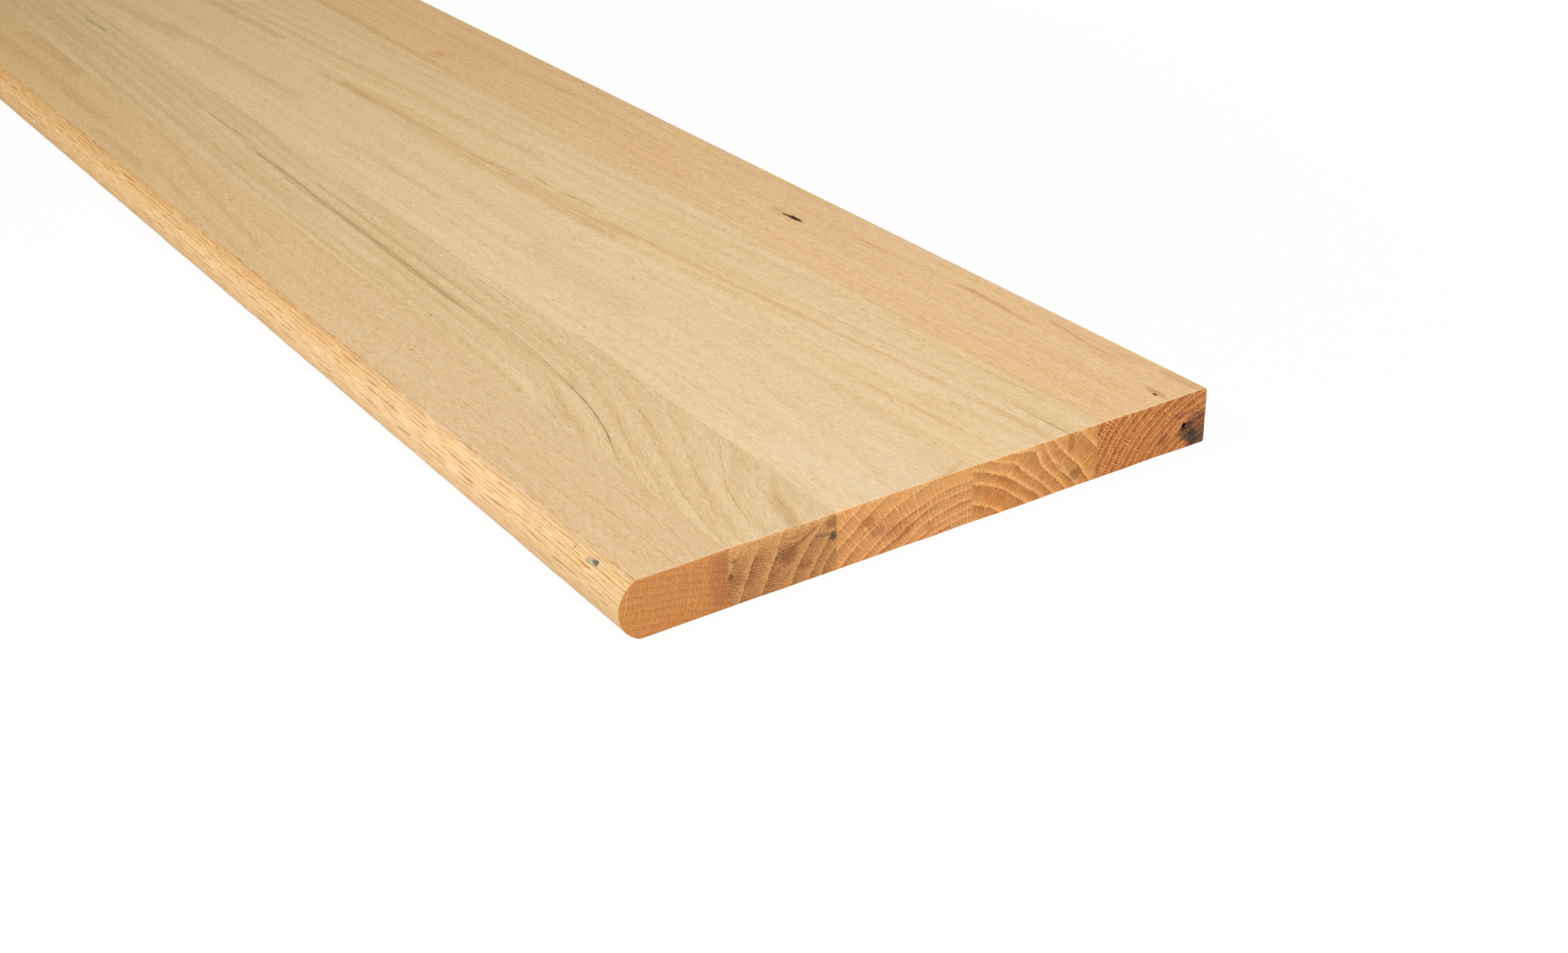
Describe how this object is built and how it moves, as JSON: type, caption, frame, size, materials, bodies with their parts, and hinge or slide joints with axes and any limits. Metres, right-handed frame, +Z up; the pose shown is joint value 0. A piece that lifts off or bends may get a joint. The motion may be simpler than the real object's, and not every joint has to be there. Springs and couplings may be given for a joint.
{
  "type": "stair tread",
  "caption": "Edge-glued oak stair tread: a long flat board with a rounded nose along its front edge and square-cut ends.",
  "frame": {"origin": "middle of the flat underside, at half the length and half the depth", "axes": "+X along the tread towards the sawn end that the picture shows, +Y from the nose to the back edge, +Z up out of the walking face"},
  "size_m": [1.2192, 0.2922, 0.0254],
  "materials": {
    "nose_stave_oak": "bare sanded white oak, pinkish tan",
    "second_stave_oak": "bare sanded white oak, olive tan with mineral streaks",
    "third_stave_oak": "bare sanded white oak, pale straight grain",
    "fourth_stave_oak": "bare sanded white oak, yellowish with wavy grain",
    "back_stave_oak": "bare sanded white oak, orange tan with a small knot"
  },
  "bodies": {
    "root": {"nose_stave": "nose_stave_oak", "second_stave": "second_stave_oak", "third_stave": "third_stave_oak", "fourth_stave": "fourth_stave_oak", "back_stave": "back_stave_oak"}
  },
  "joints": []
}
